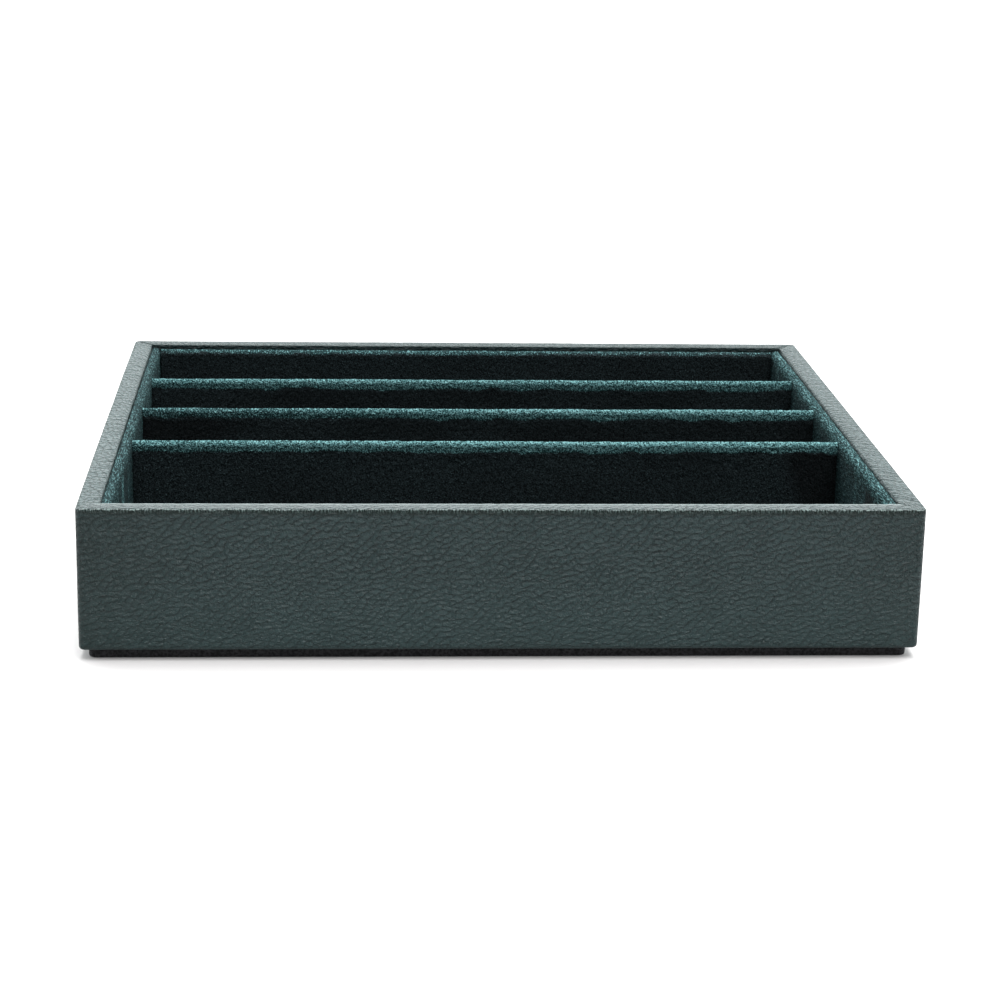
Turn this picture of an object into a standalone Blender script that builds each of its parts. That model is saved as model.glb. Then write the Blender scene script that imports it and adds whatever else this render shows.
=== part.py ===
"""Watch strap tray: a low rectangular tray in pebbled leather, lined with suede.

Four board walls stand round a bottom board.  One band of leather is wrapped
round the walls, turned over the rim and tucked under the bottom.  Suede
covered cards line the walls and the floor, and three suede covered cards
divide the inside into one wide lane at the front and three equal lanes behind
it.  A black covered pad, set in from the edges, carries the tray.

Metres.  +X is the tray's width, +Y runs from its front to its back and +Z is
up.  The origin is at the middle of the pad's underside.
"""

import math

import bmesh
import bpy
from mathutils import Vector

# ---------------------------------------------------------------- dimensions

WIDTH = 0.300            # over the leather, left to right
DEPTH = 0.270            # over the leather, front to back
HEIGHT = 0.056           # underside of the pad to the top of the rim
GAP = 0.0003             # glue line or clearance between neighbours

PAD_REVEAL = 0.0038      # height of the pad that shows below the leather
PAD_INSET = 0.0034       # pad's side, in from the leather's face
PAD_CORNER = 0.0030      # radius of the pad's upright corners
PAD_EDGE = 0.0012        # rounding of the pad's lower edge
PAD_COVER = 0.0008       # thickness of the pad's cover
PAD_TURN = 0.0120        # width of the cover turned in over the pad

LEATHER = 0.0010         # thickness of the leather
RIM = 0.0083             # rim, outer face to inner face
RIM_OUTER_ROUND = 0.0012
RIM_INNER_ROUND = 0.0010
LEATHER_FOOT_ROUND = 0.0015
LEATHER_CORNER = 0.0014  # radius of the upright outer corners
LEATHER_TUCK = 0.0200    # leather turned under, measured from the outer face
LEATHER_TURN_IN = 0.0220 # leather turned down inside, measured from the rim

BOTTOM_BOARD = 0.0030    # thickness of the bottom board

SUEDE = 0.0008           # thickness of the suede
LINING_FACE = 0.0121     # wall lining's face, in from the leather's outer face
LINING_DROP = 0.0019     # top of the lining, below the rim
LINING_TURN = 0.0140     # suede turned in behind the lining card
LINING_ROUND = 0.0012

FLOOR_CARD = 0.0013
FLOOR_TURN = 0.0140      # suede turned in below the floor card

DIVIDER = 0.0043         # divider over its suede
DIVIDER_DROP = 0.0028    # top of the dividers, below the rim
DIVIDER_PITCH = 0.0518   # between neighbouring dividers, face to face
LANES_BEHIND = 3         # equal lanes behind the front divider

# ------------------------------------------------------- derived dimensions

HALF_W = WIDTH / 2
HALF_D = DEPTH / 2

LEATHER_FOOT = PAD_REVEAL                      # underside of the leather
BOARD_OUT = LEATHER + GAP                      # outer face of the wall boards
BOARD_IN = RIM - LEATHER - GAP                 # inner face of the wall boards
BOARD_FOOT = LEATHER_FOOT + LEATHER + GAP
BOARD_TOP = HEIGHT - LEATHER - GAP

BOTTOM_TOP = BOARD_FOOT + BOTTOM_BOARD

LINING_BACK = RIM + GAP
LINING_FOOT = BOTTOM_TOP + GAP
LINING_TOP = HEIGHT - LINING_DROP

FLOOR_FOOT = BOTTOM_TOP + GAP
FLOOR_TOP = FLOOR_FOOT + 2 * SUEDE + 2 * GAP + FLOOR_CARD

DIVIDER_FOOT = FLOOR_TOP + GAP
DIVIDER_TOP = HEIGHT - DIVIDER_DROP
BACK_LINING_Y = HALF_D - LINING_FACE


# ------------------------------------------------------------------- helpers

def clear_scene():
    for obj in list(bpy.data.objects):
        bpy.data.objects.remove(obj, do_unlink=True)


def make_material(name, color, roughness, metallic=0.0):
    mat = bpy.data.materials.new(name)
    mat.use_nodes = True
    shader = mat.node_tree.nodes["Principled BSDF"]
    shader.inputs["Base Color"].default_value = (*color, 1.0)
    shader.inputs["Roughness"].default_value = roughness
    shader.inputs["Metallic"].default_value = metallic
    mat.diffuse_color = (*color, 1.0)
    return mat


def add_piece(name, bm, color, roughness, location=(0.0, 0.0, 0.0), smooth=True):
    """Turn a bmesh into a named object under the tray's empty."""
    bmesh.ops.recalc_face_normals(bm, faces=bm.faces)
    mesh = bpy.data.meshes.new(name)
    bm.to_mesh(mesh)
    bm.free()
    if smooth:
        mesh.shade_smooth()
        mesh.set_sharp_from_angle(angle=math.radians(32))
    obj = bpy.data.objects.new(name, mesh)
    obj.location = location
    obj.parent = tray
    mesh.materials.append(make_material(name + "_material", color, roughness))
    bpy.context.scene.collection.objects.link(obj)
    return obj


def add_board(name, low, high, color, edge=0.0003, roughness=0.85):
    """A flat board between two corners, with its edges just broken."""
    low, high = Vector(low), Vector(high)
    size = high - low
    bm = bmesh.new()
    bmesh.ops.create_cube(bm, size=1.0)
    for vert in bm.verts:
        vert.co = Vector((vert.co.x * size.x, vert.co.y * size.y, vert.co.z * size.z))
    obj = add_piece(name, bm, color, roughness, (low + high) / 2, smooth=False)
    bevel = obj.modifiers.new("broken_edges", "BEVEL")
    bevel.width = edge
    bevel.segments = 1
    bevel.limit_method = "ANGLE"
    return obj


def arc(center, radius, start, end, steps):
    """Points round an arc in a section plane, angles in degrees."""
    points = []
    for i in range(steps + 1):
        a = math.radians(start + (end - start) * i / steps)
        points.append((center[0] + radius * math.cos(a), center[1] + radius * math.sin(a)))
    return points


def rounded_rectangle(inset, corner, z, steps=5):
    """A level loop, inset from the tray's outer faces, with rounded corners."""
    radius = max(corner, 0.00015)
    x, y = HALF_W - inset - radius, HALF_D - inset - radius
    loop = []
    for cx, cy, first in ((x, y, 0), (-x, y, 90), (-x, -y, 180), (x, -y, 270)):
        for px, py in arc((cx, cy), radius, first, first + 90, steps):
            loop.append((px, py, z))
    return loop


def sweep_round(section, corner, capped):
    """Carry a section round the tray: each point is (inset, height).

    corner is the upright corner's radius at inset 0.  A capped sweep closes
    its first and its last loop with a flat face, and any other sweep joins
    its last loop to its first.
    """
    bm = bmesh.new()
    first_inset = min(inset for inset, _ in section)
    loops = []
    for inset, z in section:
        points = rounded_rectangle(inset, corner - (inset - first_inset), z)
        loops.append([bm.verts.new(p) for p in points])
    pairs = list(zip(loops, loops[1:]))
    if not capped:
        pairs.append((loops[-1], loops[0]))
    for lower, upper in pairs:
        n = len(lower)
        for i in range(n):
            j = (i + 1) % n
            bm.faces.new((lower[i], lower[j], upper[j], upper[i]))
    if capped:
        bm.faces.new(loops[0])
        bm.faces.new(loops[-1])
    return bm


def extrude_section(section, length, along):
    """Extrude a closed section; each point is (across, height).

    along is 'X' for a piece that runs across the tray, whose section lies
    in Y and Z, or 'Y' for one that runs from front to back.
    """
    bm = bmesh.new()
    if along == "X":
        ring = [bm.verts.new((-length / 2, a, z)) for a, z in section]
        step = Vector((length, 0, 0))
    else:
        ring = [bm.verts.new((a, -length / 2, z)) for a, z in section]
        step = Vector((0, length, 0))
    face = bm.faces.new(ring)
    grown = bmesh.ops.extrude_face_region(bm, geom=[face])
    moved = [g for g in grown["geom"] if isinstance(g, bmesh.types.BMVert)]
    bmesh.ops.translate(bm, verts=moved, vec=step)
    return bm


# ------------------------------------------------------------------- colours

LEATHER_GREEN = (0.030, 0.052, 0.050)
SUEDE_GREEN = (0.006, 0.050, 0.050)
BOARD_BROWN = (0.36, 0.25, 0.15)
CARD_GREY = (0.30, 0.28, 0.25)
PAD_BLACK = (0.010, 0.011, 0.012)

clear_scene()
tray = bpy.data.objects.new("watch_strap_tray", None)
bpy.context.scene.collection.objects.link(tray)


# ------------------------------------------------------------------ base pad

def base_pad():
    i = PAD_INSET
    top = PAD_REVEAL - GAP
    low = PAD_COVER
    section = [(i + PAD_EDGE + 0.004, 0.0)]
    section += [(i + PAD_EDGE - PAD_EDGE * math.sin(a), PAD_EDGE - PAD_EDGE * math.cos(a))
                for a in (math.radians(18 * k) for k in range(6))]
    section += [(i, top - 0.0005), (i + 0.00015, top - 0.00015), (i + 0.0005, top)]
    section += [(i + PAD_TURN, top), (i + PAD_TURN, top - PAD_COVER)]
    section += [(i + PAD_COVER, top - PAD_COVER), (i + PAD_COVER, low + 0.0004), (i + PAD_COVER + 0.0004, low)]
    add_piece("base_pad_cover", sweep_round(section, PAD_CORNER, True), PAD_BLACK, 0.8)

    side = i + PAD_COVER + GAP
    foot, head, e = low + GAP, top - PAD_COVER - GAP, 0.0005
    section = [(side + e, foot), (side, foot + e), (side, head - 0.4 * e), (side + 0.4 * e, head)]
    add_piece("base_pad_board", sweep_round(section, PAD_CORNER - PAD_COVER - GAP, True),
              CARD_GREY, 0.85)


# ------------------------------------------------------------------- carcass

def carcass():
    x, y = HALF_W - BOARD_OUT, HALF_D - BOARD_OUT
    xi, yi = HALF_W - BOARD_IN, HALF_D - BOARD_IN
    add_board("front_wall_board", (-x, -y, BOARD_FOOT), (x, -yi, BOARD_TOP), BOARD_BROWN, edge=0.0005)
    add_board("back_wall_board", (-x, yi, BOARD_FOOT), (x, y, BOARD_TOP), BOARD_BROWN, edge=0.0005)
    add_board("left_wall_board", (-x, -yi + GAP, BOARD_FOOT), (-xi, yi - GAP, BOARD_TOP), BOARD_BROWN, edge=0.0005)
    add_board("right_wall_board", (xi, -yi + GAP, BOARD_FOOT), (x, yi - GAP, BOARD_TOP), BOARD_BROWN, edge=0.0005)
    add_board("bottom_board",
              (-xi + GAP, -yi + GAP, BOARD_FOOT), (xi - GAP, yi - GAP, BOTTOM_TOP),
              BOARD_BROWN)


def leather_wrap():
    """Outside face, rim, face turned in behind the lining and tuck under."""
    foot, top = LEATHER_FOOT, HEIGHT
    fr, orr, irr, t = LEATHER_FOOT_ROUND, RIM_OUTER_ROUND, RIM_INNER_ROUND, LEATHER
    section = [(LEATHER_TUCK, foot)]
    section += arc((fr, foot + fr), fr, 270, 180, 4)
    section += arc((orr, top - orr), orr, 180, 90, 4)
    section += arc((RIM - irr, top - irr), irr, 90, 0, 4)
    section += [(RIM, top - LEATHER_TURN_IN), (RIM - t, top - LEATHER_TURN_IN)]
    section += [(RIM - t, top - t), (t, top - t)]
    section += [(t, foot + t), (LEATHER_TUCK, foot + t)]
    add_piece("leather_wrap", sweep_round(section, LEATHER_CORNER, False), LEATHER_GREEN, 0.5)


# -------------------------------------------------------------------- lining

def lining_section(face, back):
    """Suede round a card: down the face, over the top and under the foot,
    with its ends turned in behind.  face and back are positions across the
    tray, and the section runs from face to back whichever way that is."""
    s = 1 if back > face else -1
    t, r = SUEDE, LINING_ROUND
    foot, top = LINING_FOOT, LINING_TOP
    rf = 0.0005
    section = [(face, foot + rf), (face, top - r)]
    section += [(face + s * (r - r * math.cos(a)), top - r + r * math.sin(a))
                for a in (math.radians(22.5 * k) for k in range(1, 5))]
    section += [(back - s * (r - r * math.sin(a)), top - r + r * math.cos(a))
                for a in (math.radians(22.5 * k) for k in range(0, 5))]
    section += [(back, top - LINING_TURN), (back - s * t, top - LINING_TURN)]
    section += [(back - s * t, top - t), (face + s * t, top - t)]
    section += [(face + s * t, foot + t), (back - s * t, foot + t)]
    section += [(back - s * t, foot + LINING_TURN), (back, foot + LINING_TURN)]
    section += [(back, foot + rf), (back - s * rf, foot), (face + s * rf, foot)]
    return section


def wall_linings():
    card_out = LINING_BACK + SUEDE + GAP
    card_in = LINING_FACE - SUEDE - GAP
    card_foot = LINING_FOOT + SUEDE + GAP
    card_top = LINING_TOP - SUEDE - GAP

    # The side linings run the whole depth between the turned-in leather.
    side_run = DEPTH - 2 * LINING_BACK
    for name, s in (("left", -1), ("right", 1)):
        face, back = s * (HALF_W - LINING_FACE), s * (HALF_W - LINING_BACK)
        add_piece(name + "_lining_suede",
                  extrude_section(lining_section(face, back), side_run, "Y"),
                  SUEDE_GREEN, 0.95)
        a, b = sorted((s * (HALF_W - card_in), s * (HALF_W - card_out)))
        add_board(name + "_lining_card",
                  (a, -side_run / 2 + GAP, card_foot), (b, side_run / 2 - GAP, card_top),
                  CARD_GREY, edge=0.0002)

    # The front and back linings fit between the side linings.
    cross_run = WIDTH - 2 * LINING_FACE - 2 * GAP
    for name, s in (("front", -1), ("back", 1)):
        face, back = s * (HALF_D - LINING_FACE), s * (HALF_D - LINING_BACK)
        add_piece(name + "_lining_suede",
                  extrude_section(lining_section(face, back), cross_run, "X"),
                  SUEDE_GREEN, 0.95)
        a, b = sorted((s * (HALF_D - card_in), s * (HALF_D - card_out)))
        add_board(name + "_lining_card",
                  (-cross_run / 2 + GAP, a, card_foot), (cross_run / 2 - GAP, b, card_top),
                  CARD_GREY, edge=0.0002)


def floor_lining():
    """Suede over the floor card, with its edges turned in below the card."""
    i = LINING_FACE + GAP
    t, foot, top = SUEDE, FLOOR_FOOT, FLOOR_TOP
    r = 0.0007
    section = [(i + r + 0.004, top), (i + r, top), (i + 0.3 * r, top - 0.3 * r), (i, top - r)]
    section += [(i, foot + 0.0004), (i + 0.0004, foot)]
    section += [(i + FLOOR_TURN, foot), (i + FLOOR_TURN, foot + t)]
    section += [(i + t, foot + t), (i + t, top - t)]
    add_piece("floor_lining_suede", sweep_round(section, 0.0006, True), SUEDE_GREEN, 0.95)

    side = i + SUEDE + GAP
    add_board("floor_lining_card",
              (-HALF_W + side, -HALF_D + side, foot + t + GAP),
              (HALF_W - side, HALF_D - side, top - t - GAP),
              CARD_GREY, edge=0.0002)


# ------------------------------------------------------------------ dividers

def divider_section():
    """Suede folded over the top of a card, open at the foot."""
    h, t = DIVIDER / 2, SUEDE
    foot = DIVIDER_FOOT - DIVIDER_TOP
    section = [(-h, foot)]
    section += arc((0.0, -h), h, 180, 0, 10)
    section += [(h, foot), (h - t, foot)]
    section += arc((0.0, -h), h - t, 0, 180, 8)
    section += [(-h + t, foot)]
    return section


def divider_card_section():
    """A card with a rounded top that fills the fold of the suede."""
    h = DIVIDER / 2
    core = h - SUEDE - GAP
    foot = DIVIDER_FOOT - DIVIDER_TOP
    return [(-core, foot)] + arc((0.0, -h), core, 180, 0, 6) + [(core, foot)]


def dividers():
    run = WIDTH - 2 * LINING_FACE - 2 * GAP
    for k, name in zip(range(LANES_BEHIND), ("rear", "middle", "front")):
        y = BACK_LINING_Y - (k + 1) * DIVIDER_PITCH + DIVIDER / 2
        add_piece(name + "_divider_suede", extrude_section(divider_section(), run, "X"),
                  SUEDE_GREEN, 0.95, location=(0.0, y, DIVIDER_TOP))
        add_piece(name + "_divider_card",
                  extrude_section(divider_card_section(), run - 2 * GAP, "X"),
                  CARD_GREY, 0.85, location=(0.0, y, DIVIDER_TOP))


base_pad()
carcass()
leather_wrap()
wall_linings()
floor_lining()
dividers()
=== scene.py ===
"""Watch strap tray, its looks: pebbled leather, suede lining and a black pad.

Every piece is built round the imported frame, in its own metres: +X is the
width, +Y runs from the front to the back and +Z is up.
"""

import math

import bmesh
import bpy
import numpy as np
from mathutils import Matrix, Vector


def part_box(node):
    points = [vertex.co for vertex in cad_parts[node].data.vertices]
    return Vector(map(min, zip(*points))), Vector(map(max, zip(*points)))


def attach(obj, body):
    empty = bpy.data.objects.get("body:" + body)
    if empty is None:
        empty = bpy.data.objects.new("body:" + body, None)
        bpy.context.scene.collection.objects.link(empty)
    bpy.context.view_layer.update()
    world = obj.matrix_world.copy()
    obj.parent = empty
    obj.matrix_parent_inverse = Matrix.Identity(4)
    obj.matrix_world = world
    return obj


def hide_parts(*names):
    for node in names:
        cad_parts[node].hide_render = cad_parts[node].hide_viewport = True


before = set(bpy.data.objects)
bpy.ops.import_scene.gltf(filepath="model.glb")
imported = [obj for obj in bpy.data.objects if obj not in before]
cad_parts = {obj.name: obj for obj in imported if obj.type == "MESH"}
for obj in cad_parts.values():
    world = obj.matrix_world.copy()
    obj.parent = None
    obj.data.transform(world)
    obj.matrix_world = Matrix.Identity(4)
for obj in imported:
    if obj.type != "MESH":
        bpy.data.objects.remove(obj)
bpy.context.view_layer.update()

MM = 0.001

# ------------------------------------------------------------ places, from the frame

_lo, _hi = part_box("leather_wrap")
HALF_W, HALF_D = (_hi.x - _lo.x) / 2, (_hi.y - _lo.y) / 2
RIM_Z, FOOT_Z = _hi.z, _lo.z

_lo, _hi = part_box("left_lining_suede")
LINING_BACK, LINING_FACE = _lo.x + HALF_W, _hi.x + HALF_W
LINING_TOP, LINING_FOOT = _hi.z, _lo.z

_lo, _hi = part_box("floor_lining_suede")
FLOOR_FOOT, FLOOR_TOP = _lo.z, _hi.z

RIM_W = 8.3 * MM
CROWN = 0.13 * MM
R_TOP_IN = 0.50 * MM
R_FOOT = 1.5 * MM
R_UPRIGHT = 2.1 * MM


# ------------------------------------------------------------------- noise in space

def lattice(ix, iy, iz, seed):
    """A fixed number in 0..1 for each whole-numbered point in space."""
    def u(v):
        return (v.astype(np.int64) & 0xFFFFFFFF).astype(np.uint64)
    h = (u(ix) * np.uint64(374761393) + u(iy) * np.uint64(668265263)
         + u(iz) * np.uint64(2246822519) + np.uint64(seed) * np.uint64(3266489917)) & np.uint64(0xFFFFFFFF)
    h = ((h ^ (h >> np.uint64(13))) * np.uint64(1274126177)) & np.uint64(0xFFFFFFFF)
    h = h ^ (h >> np.uint64(16))
    return h.astype(float) / 4294967295.0


def noise3(p, size, seed=0):
    """Smooth noise in -1..1, with features about size metres wide.

    size is one number, or three for noise that is stretched.
    """
    q = np.asarray(p, float) / np.asarray(size, float)
    i = np.floor(q)
    f = q - i
    f = f * f * f * (f * (f * 6 - 15) + 10)
    i = i.astype(np.int64)
    total = 0.0
    for dx in (0, 1):
        wx = f[..., 0] if dx else 1 - f[..., 0]
        for dy in (0, 1):
            wy = f[..., 1] if dy else 1 - f[..., 1]
            for dz in (0, 1):
                wz = f[..., 2] if dz else 1 - f[..., 2]
                total = total + wx * wy * wz * lattice(i[..., 0] + dx, i[..., 1] + dy, i[..., 2] + dz, seed)
    return total * 2 - 1


def fbm(p, size, octaves=3, seed=0):
    total, amplitude, norm = 0.0, 1.0, 0.0
    size = np.asarray(size, float)
    for k in range(octaves):
        total = total + amplitude * noise3(p, size / 2 ** k, seed + 17 * k)
        norm += amplitude
        amplitude *= 0.5
    return total / norm


def smooth(x, lo, hi):
    t = np.clip((x - lo) / (hi - lo), 0, 1)
    return t * t * (3 - 2 * t)


# ---------------------------------------------------------------------- making meshes

def make_object(name, verts, quads, extra=(), uv=None, body="root", smooth_shade=True):
    """verts (n, 3), quads (m, 4) and any further faces, as lists of vertices."""
    mesh = bpy.data.meshes.new(name)
    counts = [4] * len(quads) + [len(f) for f in extra]
    corners = np.concatenate([np.asarray(quads, np.int32).ravel()] + [np.asarray(f, np.int32) for f in extra])
    mesh.vertices.add(len(verts))
    mesh.vertices.foreach_set("co", np.asarray(verts, np.float32).ravel())
    mesh.loops.add(len(corners))
    mesh.loops.foreach_set("vertex_index", corners)
    mesh.polygons.add(len(counts))
    starts = np.concatenate([[0], np.cumsum(counts)[:-1]]).astype(np.int32)
    mesh.polygons.foreach_set("loop_start", starts)
    mesh.polygons.foreach_set("loop_total", np.asarray(counts, np.int32))
    mesh.update(calc_edges=True)
    if uv is not None:
        layer = mesh.uv_layers.new(name="wrap")
        layer.data.foreach_set("uv", np.asarray(uv, np.float32).ravel())
    if extra:
        bm = bmesh.new()
        bm.from_mesh(mesh)
        bmesh.ops.triangulate(bm, faces=[f for f in bm.faces if len(f.verts) > 4])
        bm.to_mesh(mesh)
        bm.free()
    mesh.validate()
    if smooth_shade:
        mesh.shade_smooth()
    obj = bpy.data.objects.new(name, mesh)
    bpy.context.scene.collection.objects.link(obj)
    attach(obj, body)
    return obj


def face_outward(obj):
    bm = bmesh.new()
    bm.from_mesh(obj.data)
    bmesh.ops.recalc_face_normals(bm, faces=bm.faces)
    bm.to_mesh(obj.data)
    bm.free()


def give_nap_and_light(obj, values):
    layer = obj.data.attributes.new("nap_and_light", "FLOAT", "POINT")
    layer.data.foreach_set("value", np.asarray(values, np.float32).ravel())


class Section:
    """A closed outline in a plane, run point by point, with a share at each
    point of how much the surface noise moves it."""

    def __init__(self):
        self.points, self.share = [], []

    def add(self, a, b, w):
        self.points.append((a, b))
        self.share.append(w)

    def line(self, p, q, step, w=1.0, w_end=None):
        """From p up to, but not with, q."""
        length = math.dist(p, q)
        n = max(1, round(length / step))
        for k in range(n):
            t = k / n
            share = w if w_end is None else w + (w_end - w) * t
            self.add(p[0] + (q[0] - p[0]) * t, p[1] + (q[1] - p[1]) * t, share)

    def arc(self, center, r, start, end, n, w=1.0):
        """From the start angle up to, but not with, the end angle."""
        for k in range(n):
            a = math.radians(start + (end - start) * k / n)
            self.add(center[0] + r * math.cos(a), center[1] + r * math.sin(a), w)

    def arrays(self):
        """Points, shares, outward normals and the way run, for an outline run clockwise or not."""
        p, w = np.array(self.points), np.array(self.share)
        ahead, behind = np.roll(p, -1, 0), np.roll(p, 1, 0)
        t = ahead - behind
        t /= np.maximum(np.linalg.norm(t, axis=1, keepdims=True), 1e-12)
        area = 0.5 * np.sum(p[:, 0] * ahead[:, 1] - ahead[:, 0] * p[:, 1])
        normal = np.stack([t[:, 1], -t[:, 0]], 1) * (1 if area > 0 else -1)
        run = np.concatenate([[0], np.cumsum(np.linalg.norm(np.diff(p, axis=0), axis=1))])
        return p, w, normal, run


def spaced(lo, hi, step, fine=0.0, fine_step=None):
    """Stations from lo to hi, with finer ones within fine of either end."""
    if not fine:
        return np.linspace(lo, hi, max(2, round((hi - lo) / step) + 1))
    n = max(2, round(fine / fine_step))
    ends = np.linspace(0, fine, n + 1)
    middle = np.linspace(lo + fine, hi - fine, max(2, round((hi - lo - 2 * fine) / step) + 1))
    return np.concatenate([lo + ends[:-1], middle, (hi - ends[:-1])[::-1]])


def grid_quads(n, m, wrap_n, wrap_m):
    i = np.arange(n if wrap_n else n - 1)
    j = np.arange(m if wrap_m else m - 1)
    i, j = np.meshgrid(i, j, indexing="ij")
    i2, j2 = (i + 1) % n, (j + 1) % m
    return np.stack([i * m + j, i2 * m + j, i2 * m + j2, i * m + j2], -1).reshape(-1, 4)


def run_piece(name, section, stations, place, move, nap_and_light=None, flat_ends=0.6 * MM):
    """A section carried along a straight run, with closed ends.

    place(a, run) gives the world position of across and along, and
    move(points, share, along) gives how far each point goes along its normal.
    """
    p, w, normal, _ = section.arrays()
    n, m = len(stations), len(p)
    a = np.repeat(p[None, :, 0], n, 0)
    z = np.repeat(p[None, :, 1], n, 0)
    s = np.repeat(np.asarray(stations)[:, None], m, 1)
    base = place(a, s, z)
    step = 1e-4
    out = (place(a + normal[None, :, 0] * step, s, z + normal[None, :, 1] * step) - base) / step
    end = np.minimum(s - stations[0], stations[-1] - s)
    share = w[None, :] * smooth(end, -0.2 * flat_ends, flat_ends)
    verts = base + out * (move(base, w[None, :] + 0 * s, s) * share)[..., None]
    verts = verts.reshape(-1, 3)
    quads = grid_quads(n, m, False, True)
    caps = [list(range(m)), list(range((n - 1) * m, n * m))]
    obj = make_object(name, verts, quads, extra=caps)
    face_outward(obj)
    if nap_and_light is not None:
        give_nap_and_light(obj, nap_and_light(base).ravel())
    return obj


# ---------------------------------------------------------------------- node helpers

class Tree:
    """A material's nodes, with one short call for each kind used here."""

    def __init__(self, name):
        self.mat = bpy.data.materials.new(name)
        self.mat.use_nodes = True
        self.nt = self.mat.node_tree
        self.shader = self.nt.nodes["Principled BSDF"]

    def new(self, kind, **props):
        node = self.nt.nodes.new(kind)
        for key, value in props.items():
            setattr(node, key, value)
        return node

    def link(self, a, b):
        self.nt.links.new(a, b)

    def put(self, socket, value):
        if isinstance(value, bpy.types.NodeSocket):
            self.link(value, socket)
        else:
            socket.default_value = value

    def place(self, source="Object"):
        return self.new("ShaderNodeTexCoord").outputs[source]

    def uv(self, name):
        return self.new("ShaderNodeUVMap", uv_map=name).outputs[0]

    def mapping(self, vector, rotation=(0, 0, 0), scale=(1, 1, 1), location=(0, 0, 0)):
        node = self.new("ShaderNodeMapping")
        self.link(vector, node.inputs["Vector"])
        node.inputs["Rotation"].default_value = rotation
        node.inputs["Scale"].default_value = scale
        node.inputs["Location"].default_value = location
        return node.outputs[0]

    def leaned(self, vector, degrees, along, across):
        """Turned first and stretched after, for marks that lean by degrees."""
        turned = self.mapping(vector, rotation=(0, 0, math.radians(-degrees)))
        return self.mapping(turned, scale=(along, across, 1.0))

    def noise(self, vector, scale, detail=2.0, rough=0.5, dims="3D", out="Fac", distortion=0.0):
        node = self.new("ShaderNodeTexNoise", noise_dimensions=dims)
        self.link(vector, node.inputs["Vector"])
        node.inputs["Scale"].default_value = scale
        node.inputs["Detail"].default_value = detail
        node.inputs["Roughness"].default_value = rough
        node.inputs["Distortion"].default_value = distortion
        return node.outputs[out]

    def voronoi(self, vector, scale, feature="DISTANCE_TO_EDGE", dims="2D", out="Distance", random=1.0):
        node = self.new("ShaderNodeTexVoronoi", feature=feature, voronoi_dimensions=dims)
        self.link(vector, node.inputs["Vector"])
        node.inputs["Scale"].default_value = scale
        node.inputs["Randomness"].default_value = random
        return node.outputs[out]

    def gabor(self, vector, scale, run, degrees):
        """Rows of ripples: where each point is between two rows, and how clear
        the rows are there."""
        node = self.new("ShaderNodeTexGabor", gabor_type="2D")
        self.link(vector, node.inputs["Vector"])
        node.inputs["Scale"].default_value = scale
        node.inputs["Frequency"].default_value = 2.0
        node.inputs["Anisotropy"].default_value = run
        node.inputs[4].default_value = math.radians(degrees)
        return node.outputs["Phase"], node.outputs["Intensity"]

    def math(self, op, a, b=0.0, c=0.0, clamp=False):
        node = self.new("ShaderNodeMath", operation=op, use_clamp=clamp)
        self.put(node.inputs[0], a)
        self.put(node.inputs[1], b)
        if op in ("MULTIPLY_ADD", "SMOOTH_MIN", "SMOOTH_MAX", "WRAP", "COMPARE"):
            self.put(node.inputs[2], c)
        return node.outputs[0]

    def vmath(self, op, a, b=(0, 0, 0), scale=None):
        node = self.new("ShaderNodeVectorMath", operation=op)
        self.put(node.inputs[0], a)
        if scale is None:
            self.put(node.inputs[1], b)
        else:
            self.put(node.inputs["Scale"], scale)
        return node.outputs[0]

    def split(self, vector):
        node = self.new("ShaderNodeSeparateXYZ")
        self.link(vector, node.inputs[0])
        return node.outputs

    def step(self, value, lo, hi, out_lo=0.0, out_hi=1.0):
        """A smooth step from out_lo to out_hi as value goes from lo to hi."""
        node = self.new("ShaderNodeMapRange", interpolation_type="SMOOTHSTEP")
        self.put(node.inputs["Value"], value)
        node.inputs["From Min"].default_value = lo
        node.inputs["From Max"].default_value = hi
        node.inputs["To Min"].default_value = out_lo
        node.inputs["To Max"].default_value = out_hi
        return node.outputs[0]

    def mix(self, factor, a, b, mode="MIX"):
        node = self.new("ShaderNodeMix", data_type="RGBA", blend_type=mode)
        self.put(node.inputs[0], factor)
        for socket, value in ((node.inputs[6], a), (node.inputs[7], b)):
            if isinstance(value, bpy.types.NodeSocket):
                self.link(value, socket)
            else:
                socket.default_value = (*value, 1.0)
        return node.outputs[2]

    def bump(self, height, distance, strength=1.0, normal=None):
        node = self.new("ShaderNodeBump")
        self.link(height, node.inputs["Height"])
        node.inputs["Distance"].default_value = distance
        node.inputs["Strength"].default_value = strength
        if normal is not None:
            self.link(normal, node.inputs["Normal"])
        return node.outputs[0]


# ------------------------------------------------------------------------- materials

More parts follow.
